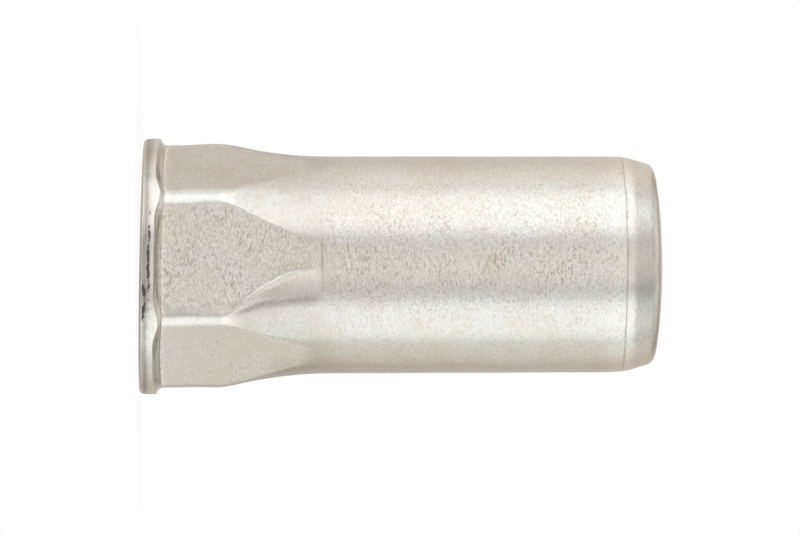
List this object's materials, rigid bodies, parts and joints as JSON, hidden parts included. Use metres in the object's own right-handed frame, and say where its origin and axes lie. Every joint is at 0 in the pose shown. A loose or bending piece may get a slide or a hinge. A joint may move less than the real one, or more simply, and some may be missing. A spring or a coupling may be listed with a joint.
{
  "type": "rivet nut",
  "caption": "Closed-end blind rivet nut: half-hexagon shank under a small countersunk head, plain collapsing entry and an M6 thread.",
  "frame": {"origin": "centre of the head's outer face", "axes": "+Z along the axis from the head to the closed end; one flat of the hexagon faces -Y and its corners point along X"},
  "size_m": [0.0107, 0.0106, 0.0214],
  "materials": {
    "zinc_plated_steel": "cold-formed steel with clear zinc plating, matt and fine-grained, faint warm and green tints"
  },
  "bodies": {
    "root": {"rivet_nut": "zinc_plated_steel"}
  },
  "joints": []
}
